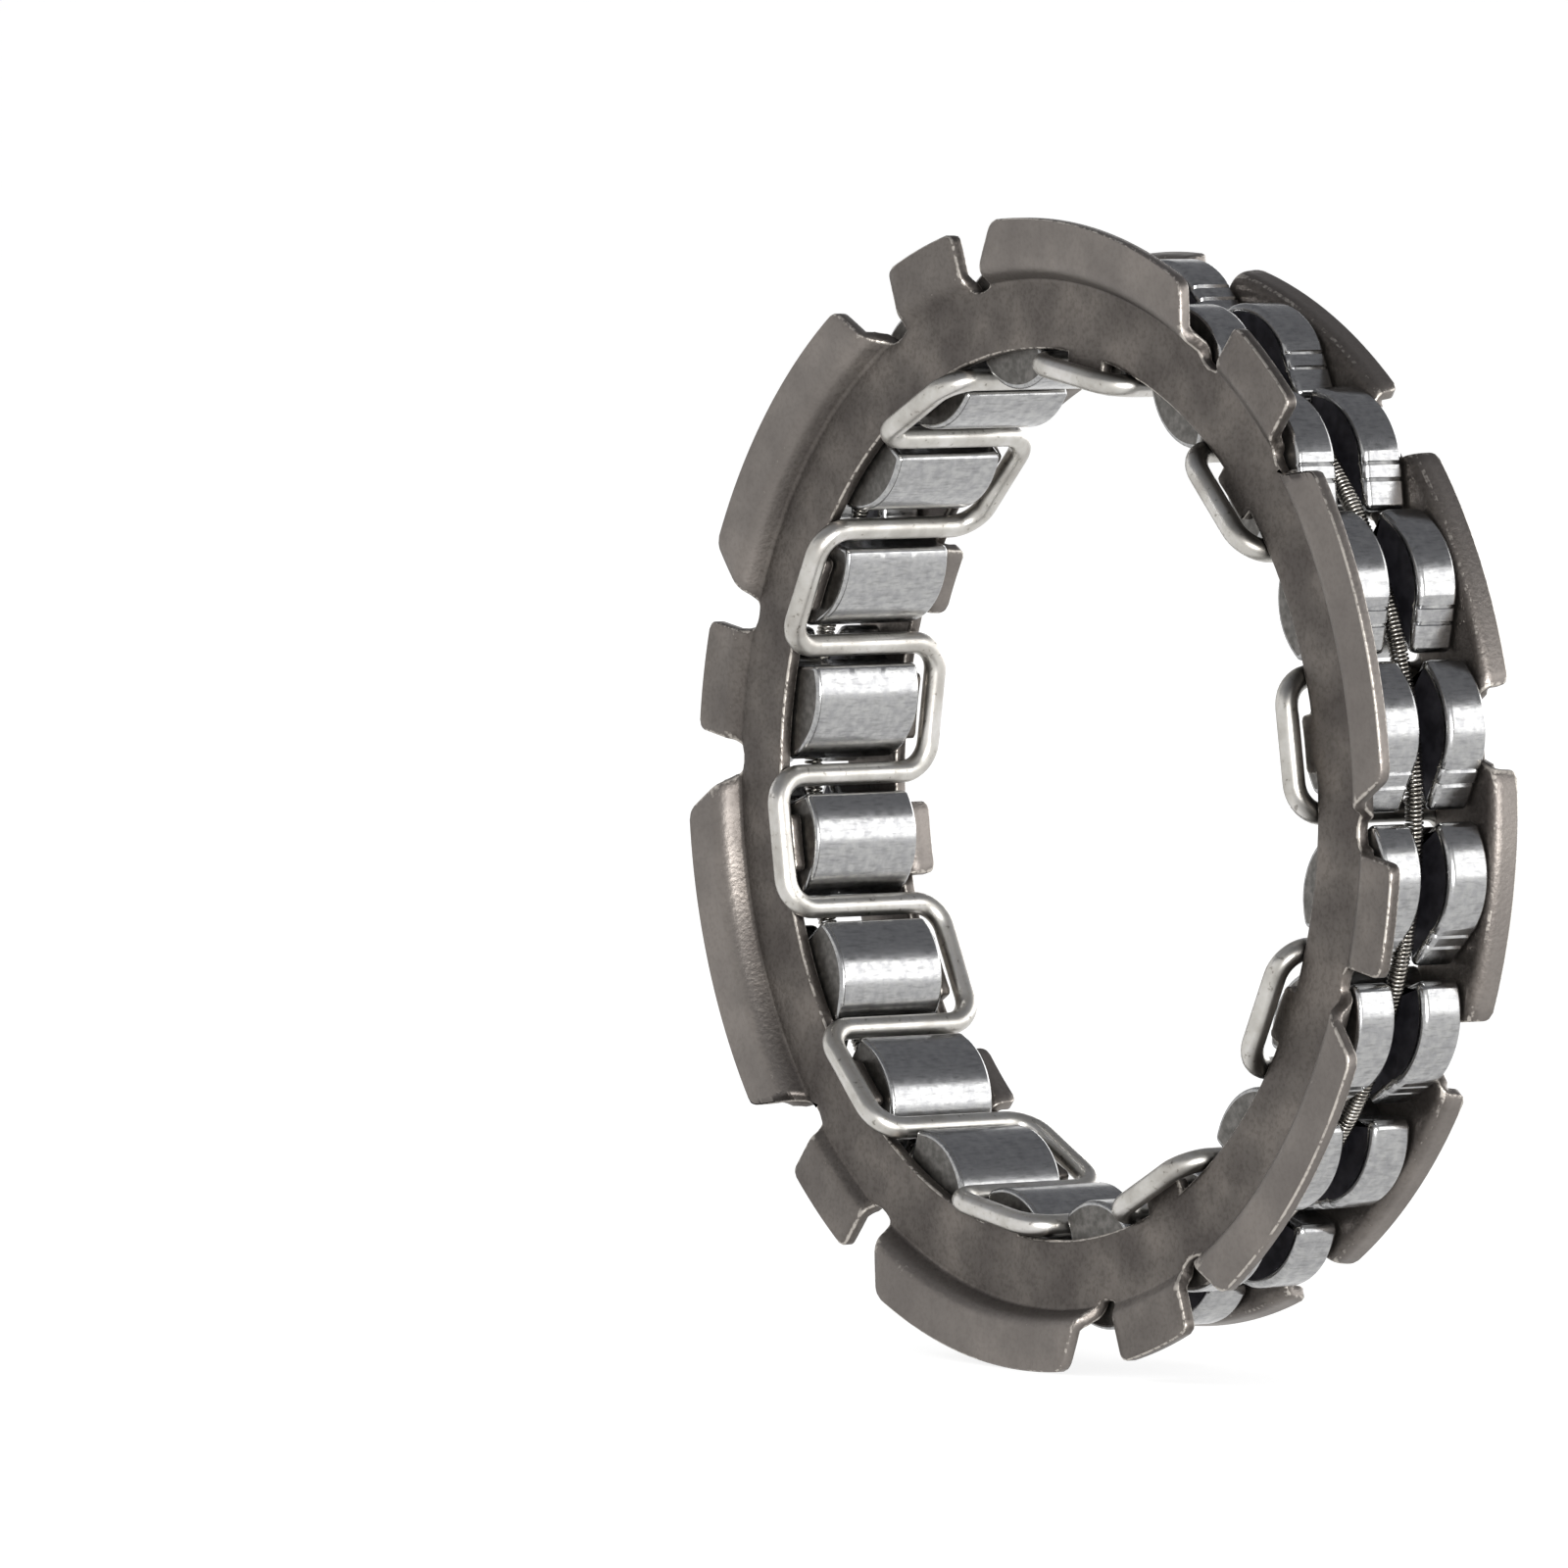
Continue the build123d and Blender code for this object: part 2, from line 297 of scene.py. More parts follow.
def tumbled_sheet_steel():
    """Carbon steel sheet, pressed and tumbled with stones. The stones leave a dull grey-brown skin, fine
    pits, faint clouds and light edges where they wore the sheet. The pits are drawn coarser than they
    are, so that they show. The bends that stand out on the lugs are painted paler, partly as wear and
    partly as painted highlight. The parts farthest along the axis, the lugs' front lips and the rear
    lugs' tips, grow paler, partly as wear and partly as painted light, and the rear lugs and flaps grow
    paler toward the rear as painted light."""
    material = bpy.data.materials.new("tumbled_sheet_steel")
    material.use_nodes = True
    tree = material.node_tree
    shader = tree.nodes["Principled BSDF"]
    place = add_node(tree, "ShaderNodeTexCoord").outputs["Object"]
    clouds = add_node(
        tree, "ShaderNodeTexNoise",
        links={"Vector": place, "Scale": noise_scale(CLOUD), "Detail": 3.0},
    ).outputs["Fac"]
    pits = add_node(
        tree, "ShaderNodeTexNoise",
        links={"Vector": place, "Scale": noise_scale(PIT), "Detail": 2.0},
    ).outputs["Fac"]
    skin = add_node(tree, "ShaderNodeValToRGB", links={"Fac": clouds})
    fill_ramp(skin, (0.34, "#585350"), (0.52, "#645f5b"), (0.68, "#746e69"))
    grit = add_node(tree, "ShaderNodeValToRGB", links={"Fac": pits})
    fill_ramp(grit, (0.36, "#bdb9b4"), (0.50, "#f4f2f0"), (0.66, "#ffffff"))
    tone = add_node(
        tree, "ShaderNodeMix", {"data_type": "RGBA", "blend_type": "MULTIPLY"}, {"Factor": 0.4}
    )
    tree.links.new(skin.outputs["Color"], tone.inputs["A"])
    tree.links.new(grit.outputs["Color"], tone.inputs["B"])
    edge = add_node(tree, "ShaderNodeAttribute", {"attribute_name": "worn_edge_and_highlight"}).outputs["Fac"]
    patchy = add_node(
        tree, "ShaderNodeMath", {"operation": "MULTIPLY_ADD"}, {0: clouds, 1: 0.9, 2: 0.0}
    ).outputs[0]
    wear = add_node(
        tree, "ShaderNodeMath", {"operation": "MULTIPLY_ADD", "use_clamp": True},
        {0: pits, 1: 0.9, 2: patchy},
    ).outputs[0]
    # Paler rims and ridges: wear on the rims, wear and painted highlight on the ridges.
    edge_wear_and_highlight = add_node(
        tree, "ShaderNodeMapRange", links={"Value": edge, "From Min": wear, "From Max": 1.05}
    ).outputs[0]
    along = add_node(tree, "ShaderNodeSeparateXYZ", links={"Vector": place}).outputs["Y"]
    stand = add_node(tree, "ShaderNodeMath", {"operation": "ABSOLUTE"}, {0: along}).outputs[0]
    # Paler far along the axis: partly wear and partly painted light on the lips, painted light at the
    # rear.
    paler_by_wear_and_light = []
    for reached, (starts, full, pale) in ((stand, LIP_WEAR_AND_LIGHT), (along, REAR_PAINTED_LIGHT)):
        paler_by_wear_and_light.append(add_node(tree, "ShaderNodeMapRange", links={
            "Value": reached, "From Min": starts * MM, "From Max": full * MM, "To Max": pale,
        }).outputs[0])
    wear_and_painted_light = add_node(
        tree, "ShaderNodeMath", {"operation": "MAXIMUM"}, {0: paler_by_wear_and_light[0], 1: paler_by_wear_and_light[1]}
    ).outputs[0]
    # The paler colour of that wear and painted light.
    lip = add_node(tree, "ShaderNodeMix", {"data_type": "RGBA"}, {"Factor": wear_and_painted_light})
    tree.links.new(tone.outputs["Result"], lip.inputs["A"])
    lip.inputs["B"].default_value = linear("#97918c")
    bright = add_node(tree, "ShaderNodeMix", {"data_type": "RGBA"}, {"Factor": edge_wear_and_highlight})
    tree.links.new(lip.outputs["Result"], bright.inputs["A"])
    bright.inputs["B"].default_value = linear("#c4beb6")
    tree.links.new(bright.outputs["Result"], shader.inputs["Base Color"])
    dull = add_node(
        tree, "ShaderNodeMapRange",
        links={"Value": clouds, "From Min": 0.35, "From Max": 0.65, "To Min": 0.52, "To Max": 0.42},
    ).outputs[0]
    tree.links.new(dull, shader.inputs["Roughness"])
    relief = add_node(
        tree, "ShaderNodeBump", links={"Height": pits, "Strength": 0.8, "Distance": PIT_DEPTH * MM}
    ).outputs["Normal"]
    tree.links.new(relief, shader.inputs["Normal"])
    shader.inputs["Metallic"].default_value = 1.0
    return material


ring_steel = tumbled_sheet_steel()

long_lugs = [FIRST_LUG + LUG_PITCH * i for i in range(6)]
short_lugs = [middle + LUG_PITCH / 2 for middle in long_lugs]
front_tongues = [(2 * pair + 0.5) * SPRAG_PITCH for pair in range(SPRAG_PAIRS)]
root_flare = math.degrees(NOTCH_ROUND / NOTCH_ROOT)
front_blank = Blank(
    [(m, LONG_LUG["root"] + root_flare) for m in long_lugs]
    + [(m, SHORT_LUG["root"] + root_flare) for m in short_lugs]
    + [(m, FRONT_TONGUE) for m in front_tongues],
    COLUMN_STEP,
)
front_blank.full_circle(flat_rows([BORE_STRIP, *LAND_ROWS, NOTCH_ROOT], -RING_FACE, 1.0))
for middles, lug in ((long_lugs, LONG_LUG), (short_lugs, SHORT_LUG)):
    lug_path = bent_path(
        [
            (NOTCH_ROOT, -RING_FACE),
            (FRONT_CREASE, -RING_FACE),
            (FRONT_CREASE + lug["ramp"], -RING_FACE - lug["step"]),
            (LUG_TIP, -RING_FACE - lug["step"]),
        ],
        [BEND, BEND + SHEET],
        ROW_STEP,
    )
    for middle in middles:
        add_lug(
            front_blank, middle, lug_path, (NOTCH_ROOT, lug["root"]), (LUG_TIP, lug["tip"]),
            FRONT_RIDGE, NOTCH_ROUND, LUG_CORNER,
        )
for middle in front_tongues:
    add_tongue(front_blank, middle, FRONT_TONGUE, -RING_FACE, 1.0)
    front_blank.patch(
        middle + SPRAG_PITCH, SPRAG_PITCH - FRONT_TONGUE,
        flat_rows([BORE_STRIP, RING_BORE], -RING_FACE, 1.0),
    )
front_ring = bpy.data.objects.new("front_ring_sheet", front_blank.mesh("front_ring_sheet"))
bpy.context.scene.collection.objects.link(front_ring)
front_ring.data.materials.append(ring_steel)
smooth(front_ring)
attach(front_ring, "cage")
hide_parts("front_ring")

# Rear ring: the same sheet steel. Ten lugs reach out over the sprag ends and turn to
# the rear, ten tongues lie under the rear wire loops, and ten flaps stand up between
# the loops and keep the wire from sliding round.
REAR_GAP = 31.5
REAR_CREASE = (33.0, 4.17)
REAR_BEND = 0.85
REAR_TIP = (33.24, 5.9)
REAR_LUG = {"root": 14.9, "full": 12.9, "full_radius": 34.0}
# The bend that stands out on the rear lugs, and how pale it is painted: partly wear, partly painted
# highlight.
REAR_RIDGE = (32.75, 33.02, 0.84)
REAR_TONGUE = 4.5
REAR_ROW_STEP = 0.2
FLAP = 4.9
FLAP_TOP = 6.1
FLAP_CORNER = 0.6

loop_middles = [(2 * pair + 1.5) * SPRAG_PITCH for pair in range(SPRAG_PAIRS)]
flap_middles = [middle - SPRAG_PITCH for middle in loop_middles]
rear_blank = Blank(
    [(m, REAR_LUG["root"]) for m in loop_middles]
    + [(m, REAR_TONGUE) for m in loop_middles]
    + [(m, FLAP) for m in flap_middles],
    COLUMN_STEP,
)
rear_blank.full_circle(flat_rows([BORE_STRIP, *LAND_ROWS, REAR_GAP], RING_BACK, 1.0))
rear_path = bent_path(
    [(REAR_GAP, RING_BACK), REAR_CREASE, REAR_TIP], [REAR_BEND], REAR_ROW_STEP
)
for middle in loop_middles:
    add_lug(
        rear_blank, middle, rear_path, (REAR_GAP, REAR_LUG["root"]),
        (REAR_LUG["full_radius"], REAR_LUG["full"]), REAR_RIDGE, tip_round=LUG_CORNER,
    )
    add_tongue(rear_blank, middle, REAR_TONGUE, RING_BACK, 1.0)
flap_face = RING_BORE - SHEET
flap_path = bent_path(
    [(BORE_STRIP, RING_BACK), (flap_face, RING_BACK), (flap_face, FLAP_TOP)],
    [BEND + SHEET], ROW_STEP,
)
flap_rows = [(place.x, place.y, -left.x, -left.y) for place, left in flap_path]
flap_shares = []
for place, _ in flap_path:
    pinch = math.degrees(drawn_in(FLAP_TOP - place.y, FLAP_CORNER) / flap_face)
    flap_shares.append((FLAP - pinch) / FLAP)
for middle in flap_middles:
    rear_blank.patch(middle, FLAP, flap_rows, flap_shares)
gap_half = (SPRAG_PITCH - REAR_TONGUE - FLAP) / 2
for middle in loop_middles:
    for side in (-1, 1):
        rear_blank.patch(
            middle + side * (REAR_TONGUE + gap_half), gap_half,
            flat_rows([BORE_STRIP, RING_BORE], RING_BACK, 1.0),
        )
rear_ring = bpy.data.objects.new("rear_ring_sheet", rear_blank.mesh("rear_ring_sheet"))
bpy.context.scene.collection.objects.link(rear_ring)
rear_ring.data.materials.append(ring_steel)
smooth(rear_ring)
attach(rear_ring, "cage")
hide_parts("rear_ring")

# Serpentine wire: one length of drawn spring steel, bent on pins to and fro between
# the sprags, with a loop over the front ring and over the rear ring in turn.
WIRE = 1.4
WIRE_RADIUS = 26.6
WIRE_LOOP = 5.82
WIRE_CORNER = 1.9
WIRE_SIDES = 20
WIRE_BEND_STEPS = 10
WIRE_CLOUD = 2.381
SCUFF = 0.3846
SCUFF_DEPTH = 0.01
# From these radii outward the wire is painted dark, as painted shade.
SHADED_FROM = (26.75, 27.15)


def drawn_spring_wire():
    """Drawn spring steel wire, stress relieved and tumbled: a satin, warm light grey with small dark
    scuffs. The side away from the bore is painted dark, as painted shade where the wire lies against the
    ring and the sprags."""
    material = bpy.data.materials.new("drawn_spring_wire")
    material.use_nodes = True
    tree = material.node_tree
    shader = tree.nodes["Principled BSDF"]
    place = add_node(tree, "ShaderNodeTexCoord").outputs["Object"]
    clouds = add_node(
        tree, "ShaderNodeTexNoise",
        links={"Vector": place, "Scale": noise_scale(WIRE_CLOUD), "Detail": 4.0},
    ).outputs["Fac"]
    scuffs = add_node(
        tree, "ShaderNodeTexNoise",
        links={"Vector": place, "Scale": noise_scale(SCUFF), "Detail": 3.0},
    ).outputs["Fac"]
    skin = add_node(tree, "ShaderNodeValToRGB", links={"Fac": clouds})
    fill_ramp(skin, (0.34, "#b0ada8"), (0.50, "#c3c1bc"), (0.66, "#d0cecb"))
    marks = add_node(tree, "ShaderNodeValToRGB", links={"Fac": scuffs})
    fill_ramp(marks, (0.28, "#8a857d"), (0.36, "#f3f1ee"), (0.7, "#ffffff"))
    tone = add_node(
        tree, "ShaderNodeMix", {"data_type": "RGBA", "blend_type": "MULTIPLY"}, {"Factor": 0.7}
    )
    tree.links.new(skin.outputs["Color"], tone.inputs["A"])
    tree.links.new(marks.outputs["Color"], tone.inputs["B"])
    flat = add_node(
        tree, "ShaderNodeVectorMath", {"operation": "MULTIPLY"}, {0: place, 1: (1.0, 0.0, 1.0)}
    ).outputs["Vector"]
    radius = add_node(tree, "ShaderNodeVectorMath", {"operation": "LENGTH"}, {0: flat}).outputs["Value"]
    # Painted shade: darker toward the side away from the bore.
    outward = add_node(tree, "ShaderNodeMapRange", links={
        "Value": radius, "From Min": SHADED_FROM[0] * MM, "From Max": SHADED_FROM[1] * MM,
        "To Max": 0.85,
    }).outputs[0]
    painted_shade = add_node(tree, "ShaderNodeMix", {"data_type": "RGBA"}, {"Factor": outward})
    tree.links.new(tone.outputs["Result"], painted_shade.inputs["A"])
    painted_shade.inputs["B"].default_value = linear("#36332f")
    tree.links.new(painted_shade.outputs["Result"], shader.inputs["Base Color"])
    dull = add_node(
        tree, "ShaderNodeMapRange",
        links={"Value": clouds, "From Min": 0.35, "From Max": 0.65, "To Min": 0.40, "To Max": 0.30},
    ).outputs[0]
    tree.links.new(dull, shader.inputs["Roughness"])
    relief = add_node(
        tree, "ShaderNodeBump",
        links={"Height": scuffs, "Strength": 0.35, "Distance": SCUFF_DEPTH * MM},
    ).outputs["Normal"]
    tree.links.new(relief, shader.inputs["Normal"])
    shader.inputs["Metallic"].default_value = 1.0
    return material


def new_tree(name, sizes):
    """A Geometry Nodes tree with a named input for each size, and a geometry output."""
    tree = bpy.data.node_groups.new(name, "GeometryNodeTree")
    tree.interface.new_socket("Geometry", in_out="INPUT", socket_type="NodeSocketGeometry")
    for label, value in sizes.items():
        kind = "NodeSocketInt" if isinstance(value, int) else "NodeSocketFloat"
        tree.interface.new_socket(label, in_out="INPUT", socket_type=kind).default_value = value
    tree.interface.new_socket("Geometry", in_out="OUTPUT", socket_type="NodeSocketGeometry")
    return tree, add_node(tree, "NodeGroupInput")


def close_tree(tree, geometry, *finishes):
    """Ends a tree in real geometry and its materials. A finish is a material and the
    selection that gets it, or None for all."""
    real = add_node(tree, "GeometryNodeRealizeInstances", links={"Geometry": geometry})
    last = real.outputs["Geometry"]
    for material, chosen in finishes:
        painted = add_node(
            tree, "GeometryNodeSetMaterial", links={"Geometry": last, "Material": material}
        )
        if chosen is not None:
            tree.links.new(chosen, painted.inputs["Selection"])
        last = painted.outputs["Geometry"]
    add_node(tree, "NodeGroupOutput", links={"Geometry": last})


def grown(name, tree, mesh, sizes):
    """A plain mesh object with what the tree makes of the mesh and the sizes."""
    seed = bpy.data.objects.new(name + "_seed", mesh)
    bpy.context.scene.collection.objects.link(seed)
    modifier = seed.modifiers.new("tree", "NODES")
    modifier.node_group = tree
    for item in tree.interface.items_tree:
        if item.in_out == "INPUT" and item.name in sizes:
            modifier[item.identifier] = sizes[item.name]
    graph = bpy.context.evaluated_depsgraph_get()
    made = bpy.data.meshes.new_from_object(seed.evaluated_get(graph))
    seed.modifiers.remove(modifier)
    bpy.data.objects.remove(seed)
    made.name = name
    piece = bpy.data.objects.new(name, made)
    bpy.context.scene.collection.objects.link(piece)
    return piece


def on_ring(tree, radius, turn, place):
    """The point at a radius, a turn in radians and a place along the ring axis."""
    c = add_node(tree, "ShaderNodeMath", {"operation": "COSINE"}, {0: turn}).outputs[0]
    s = add_node(tree, "ShaderNodeMath", {"operation": "SINE"}, {0: turn}).outputs[0]
    x = add_node(tree, "ShaderNodeMath", {"operation": "MULTIPLY"}, {0: radius, 1: c}).outputs[0]
    z = add_node(tree, "ShaderNodeMath", {"operation": "MULTIPLY"}, {0: radius, 1: s}).outputs[0]
    return add_node(tree, "ShaderNodeCombineXYZ", links={"X": x, "Y": place, "Z": z}).outputs[0]


def wire_tree(material):
    """Bends the wire over two corners on each leg, and gives it its thickness."""
    tree, sizes = new_tree("bent_wire", {
        "Legs": 20, "Ring radius": 0.02, "Loop place": 0.005, "Corner radius": 0.001,
        "Wire radius": 0.001,
    })
    corners = add_node(
        tree, "ShaderNodeMath", {"operation": "MULTIPLY"}, {0: sizes.outputs["Legs"], 1: 2.0}
    ).outputs[0]
    line = add_node(tree, "GeometryNodeCurvePrimitiveCircle", links={"Resolution": corners})
    index = add_node(tree, "GeometryNodeInputIndex").outputs[0]
    half = add_node(tree, "ShaderNodeMath", {"operation": "MULTIPLY"}, {0: index, 1: 0.5}).outputs[0]
    leg = add_node(tree, "ShaderNodeMath", {"operation": "FLOOR"}, {0: half}).outputs[0]
    pitch = add_node(
        tree, "ShaderNodeMath", {"operation": "DIVIDE"}, {0: math.tau, 1: sizes.outputs["Legs"]}
    ).outputs[0]
    turn = add_node(tree, "ShaderNodeMath", {"operation": "MULTIPLY"}, {0: leg, 1: pitch}).outputs[0]
    phase = add_node(
        tree, "ShaderNodeMath", {"operation": "MULTIPLY_ADD"}, {0: index, 1: math.pi / 2, 2: math.pi / 4}
    ).outputs[0]
    swing = add_node(tree, "ShaderNodeMath", {"operation": "COSINE"}, {0: phase}).outputs[0]
    side = add_node(
        tree, "ShaderNodeMath", {"operation": "MULTIPLY"}, {0: swing, 1: math.sqrt(2)}
    ).outputs[0]
    place = add_node(
        tree, "ShaderNodeMath", {"operation": "MULTIPLY"}, {0: side, 1: sizes.outputs["Loop place"]}
    ).outputs[0]
    bent = add_node(tree, "GeometryNodeSetPosition", links={
        "Geometry": line.outputs["Curve"],
        "Position": on_ring(tree, sizes.outputs["Ring radius"], turn, place),
    })
    rounded = add_node(tree, "GeometryNodeFilletCurve", {"mode": "POLY"}, {
        "Curve": bent.outputs["Geometry"], "Count": WIRE_BEND_STEPS,
        "Radius": sizes.outputs["Corner radius"], "Limit Radius": True,
    })
    section = add_node(
        tree, "GeometryNodeCurvePrimitiveCircle",
        links={"Resolution": WIRE_SIDES, "Radius": sizes.outputs["Wire radius"]},
    )
    wire = add_node(tree, "GeometryNodeCurveToMesh", links={
        "Curve": rounded.outputs["Curve"], "Profile Curve": section.outputs["Curve"],
    })
    shaded = add_node(tree, "GeometryNodeSetShadeSmooth", links={"Geometry": wire.outputs["Mesh"]})
    close_tree(tree, shaded.outputs["Geometry"], (material, None))
    return tree


wire_steel = drawn_spring_wire()
wire = grown("bent_wire", wire_tree(wire_steel), bpy.data.meshes.new("wire_start"), {
    "Legs": 2 * SPRAG_PAIRS, "Ring radius": WIRE_RADIUS * MM, "Loop place": WIRE_LOOP * MM,
    "Corner radius": WIRE_CORNER * MM, "Wire radius": WIRE / 2 * MM,
})
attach(wire, "cage")
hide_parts("serpentine_wire")

# Garter spring: fine music wire, wound close on a mandrel and hooked into a ring. It
# lies in the grooves of all the sprags and stands them up against the races.
COIL_RING = 30.6
COIL_OUTSIDE = 1.2
COIL_WIRE = 0.21
COIL_TURNS = 740
COIL_POINTS = 8
COIL_SIDES = 6
OIL_PATCH = 2.0


def coiled_music_wire():
    """Music wire, drawn bright and coiled, with a thin film of oil: satin grey, and
    darker and glossier where the oil is thicker."""
    material = bpy.data.materials.new("coiled_music_wire")
    material.use_nodes = True
    tree = material.node_tree
    shader = tree.nodes["Principled BSDF"]
    place = add_node(tree, "ShaderNodeTexCoord").outputs["Object"]
    oil = add_node(
        tree, "ShaderNodeTexNoise",
        links={"Vector": place, "Scale": noise_scale(OIL_PATCH), "Detail": 2.0},
    ).outputs["Fac"]
    skin = add_node(tree, "ShaderNodeValToRGB", links={"Fac": oil})
    fill_ramp(skin, (0.38, "#77736d"), (0.62, "#a8a49d"))
    tree.links.new(skin.outputs["Color"], shader.inputs["Base Color"])
    dull = add_node(
        tree, "ShaderNodeMapRange",
        links={"Value": oil, "From Min": 0.35, "From Max": 0.65, "To Min": 0.22, "To Max": 0.32},
    ).outputs[0]
    tree.links.new(dull, shader.inputs["Roughness"])
    shader.inputs["Metallic"].default_value = 1.0
    return material


def coil_tree(material):
    """Winds a closed helix along the ring and gives it the wire's thickness."""
    tree, sizes = new_tree("wound_coil", {
        "Turns": 700, "Points on a turn": 8, "Ring radius": 0.03, "Coil radius": 0.0005,
        "Wire radius": 0.0001,
    })
    count = add_node(
        tree, "ShaderNodeMath", {"operation": "MULTIPLY"},
        {0: sizes.outputs["Turns"], 1: sizes.outputs["Points on a turn"]},
    ).outputs[0]
    line = add_node(tree, "GeometryNodeCurvePrimitiveCircle", links={"Resolution": count})
    index = add_node(tree, "GeometryNodeInputIndex").outputs[0]
    share = add_node(tree, "ShaderNodeMath", {"operation": "DIVIDE"}, {0: index, 1: count}).outputs[0]
    turn = add_node(
        tree, "ShaderNodeMath", {"operation": "MULTIPLY"}, {0: share, 1: math.tau}
    ).outputs[0]
    wound = add_node(
        tree, "ShaderNodeMath", {"operation": "MULTIPLY"}, {0: turn, 1: sizes.outputs["Turns"]}
    ).outputs[0]
    out = add_node(tree, "ShaderNodeMath", {"operation": "COSINE"}, {0: wound}).outputs[0]
    along = add_node(tree, "ShaderNodeMath", {"operation": "SINE"}, {0: wound}).outputs[0]
    radius = add_node(tree, "ShaderNodeMath", {"operation": "MULTIPLY_ADD"}, {
        0: out, 1: sizes.outputs["Coil radius"], 2: sizes.outputs["Ring radius"],
    }).outputs[0]
    place = add_node(
        tree, "ShaderNodeMath", {"operation": "MULTIPLY"}, {0: along, 1: sizes.outputs["Coil radius"]}
    ).outputs[0]
    helix = add_node(tree, "GeometryNodeSetPosition", links={
        "Geometry": line.outputs["Curve"], "Position": on_ring(tree, radius, turn, place),
    })
    section = add_node(
        tree, "GeometryNodeCurvePrimitiveCircle",
        links={"Resolution": COIL_SIDES, "Radius": sizes.outputs["Wire radius"]},
    )
    coil = add_node(tree, "GeometryNodeCurveToMesh", links={
        "Curve": helix.outputs["Geometry"], "Profile Curve": section.outputs["Curve"],
    })
    shaded = add_node(tree, "GeometryNodeSetShadeSmooth", links={"Geometry": coil.outputs["Mesh"]})
    close_tree(tree, shaded.outputs["Geometry"], (material, None))
    return tree


spring_steel = coiled_music_wire()
spring = grown("garter_coil", coil_tree(spring_steel), bpy.data.meshes.new("coil_start"), {
    "Turns": COIL_TURNS, "Points on a turn": COIL_POINTS, "Ring radius": COIL_RING * MM,
    "Coil radius": (COIL_OUTSIDE - COIL_WIRE) / 2 * MM, "Wire radius": COIL_WIRE / 2 * MM,
})
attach(spring, "cage")
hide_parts("garter_spring")

# Sprags: hardened bearing steel, drawn as a long profile bar, cut to length, slotted
# for the garter spring and polished. Each has a cam foot on the inner race and a wide
# head at the outer race, with two shallow marks along the head's leading facet.
FOOT_ARC = ((0.6, 29.5), 4.45)
HEAD_ARC = ((-0.6, 27.93), 5.2)
LEADING_CORNER = (5.0, 30.07)
PROFILE = [
    ((3.0, 25.753), 0.5, None), ((2.5, 29.0), 1.2, None), (LEADING_CORNER, 0.45, None),
    ((1.9, 32.49), 0.8, HEAD_ARC), ((-4.42, 31.458), 0.8, None), ((-4.42, 30.95), 0.4, None),
    ((-2.5, 29.0), 1.2, None), ((-3.4, 27.55), 0.35, FOOT_ARC),
]
MARKS = (3.25, 2.45)
MARK_HALF = 0.14
SPRAG_END = 3.95
GROOVE_HALF = 1.0
GROOVE_ROUND = 0.5
END_ROUND = 0.3
ROUND_STEPS = (30, 60, 90)
GROOVE_FLOOR = ((0.0, 25.75), 4.0)
LONG_ARC_STEPS = 16
SHARP_EDGE = 35
SKIN, SAWN, GROOVE = 0, 1, 2
LINE_WIDTH = 0.1667
LINE_LENGTH = 0.909
LINE_DEPTH = 0.006
GLOSS_CLOUD = 0.5556
SAWN_GRAIN = 0.4167
SAWN_DEPTH = 0.008
# Size of the mottling in the groove's painted shade.
SHADE_PATCH = 0.6667


def outline():
    """The sprag's section, anticlockwise, with the places where marks are cut."""
    corners = []
    count = len(PROFILE)
    for i, (point, radius, _) in enumerate(PROFILE):
        point = Vector(point)
        before, after = PROFILE[i - 1], PROFILE[(i + 1) % count]
        into = (point - Vector(before[0])).normalized()
        if before[2]:
            spoke = point - Vector(before[2][0])
            into = Vector((-spoke.y, spoke.x)).normalized()
        out = (Vector(after[0]) - point).normalized()
        if PROFILE[i][2]:
            spoke = point - Vector(PROFILE[i][2][0])
            out = Vector((-spoke.y, spoke.x)).normalized()
        turn = -into.angle_signed(out)
        reach = radius * math.tan(abs(turn) / 2)
        side = Vector((-into.y, into.x)) * math.copysign(radius, turn)
        start = point - into * reach
        arc = []
        for k in range(ARC_STEPS + 1):
            c, s = math.cos(turn * k / ARC_STEPS), math.sin(turn * k / ARC_STEPS)
            arc.append(start + side + Vector((-side.x * c + side.y * s, -side.x * s - side.y * c)))
        corners.append(arc)
    points, marks = [], []
    for i, arc in enumerate(corners):
        points += arc
        following = corners[(i + 1) % count][0]
        if PROFILE[i][2]:
            centre, radius = Vector(PROFILE[i][2][0]), PROFILE[i][2][1]
            first, last = arc[-1] - centre, following - centre
            swing = -first.angle_signed(last)
            for k in range(1, LONG_ARC_STEPS):
                angle = math.atan2(first.y, first.x) + swing * k / LONG_ARC_STEPS
                points.append(centre + radius * Vector((math.cos(angle), math.sin(angle))))
        elif PROFILE[i][0] == LEADING_CORNER:
            top, foot = Vector(PROFILE[i + 1][0]), Vector(PROFILE[i][0])
            way = (top - foot).normalized()
            inward = Vector((-way.y, way.x))
            for place in MARKS:
                middle = foot + way * (foot.x - place) / abs(way.x)
                marks.append(len(points) + 1)
                points += [
                    middle - way * MARK_HALF, middle + inward * MARK_HALF, middle + way * MARK_HALF,
                ]
    return points, marks


def set_in(points, marks, depth):
    """The section set in all round by a depth, with its marks as deep as before."""
    moved = []
    plain = [i for i in range(len(points)) if i not in marks]
    for n, i in enumerate(plain):
        before, after = points[plain[n - 1]], points[plain[(n + 1) % len(plain)]]
        a, b = (points[i] - before).normalized(), (after - points[i]).normalized()
        ways = Vector((-a.y, a.x)) + Vector((-b.y, b.x))
        moved.append((i, points[i] + ways * depth * 2 / max(1.0, ways.length_squared)))
    found = dict(moved)
    for i in marks:
        found[i] = points[i] + (found[i - 1] + found[i + 1] - points[i - 1] - points[i + 1]) / 2
    return [found[i] for i in range(len(points))]


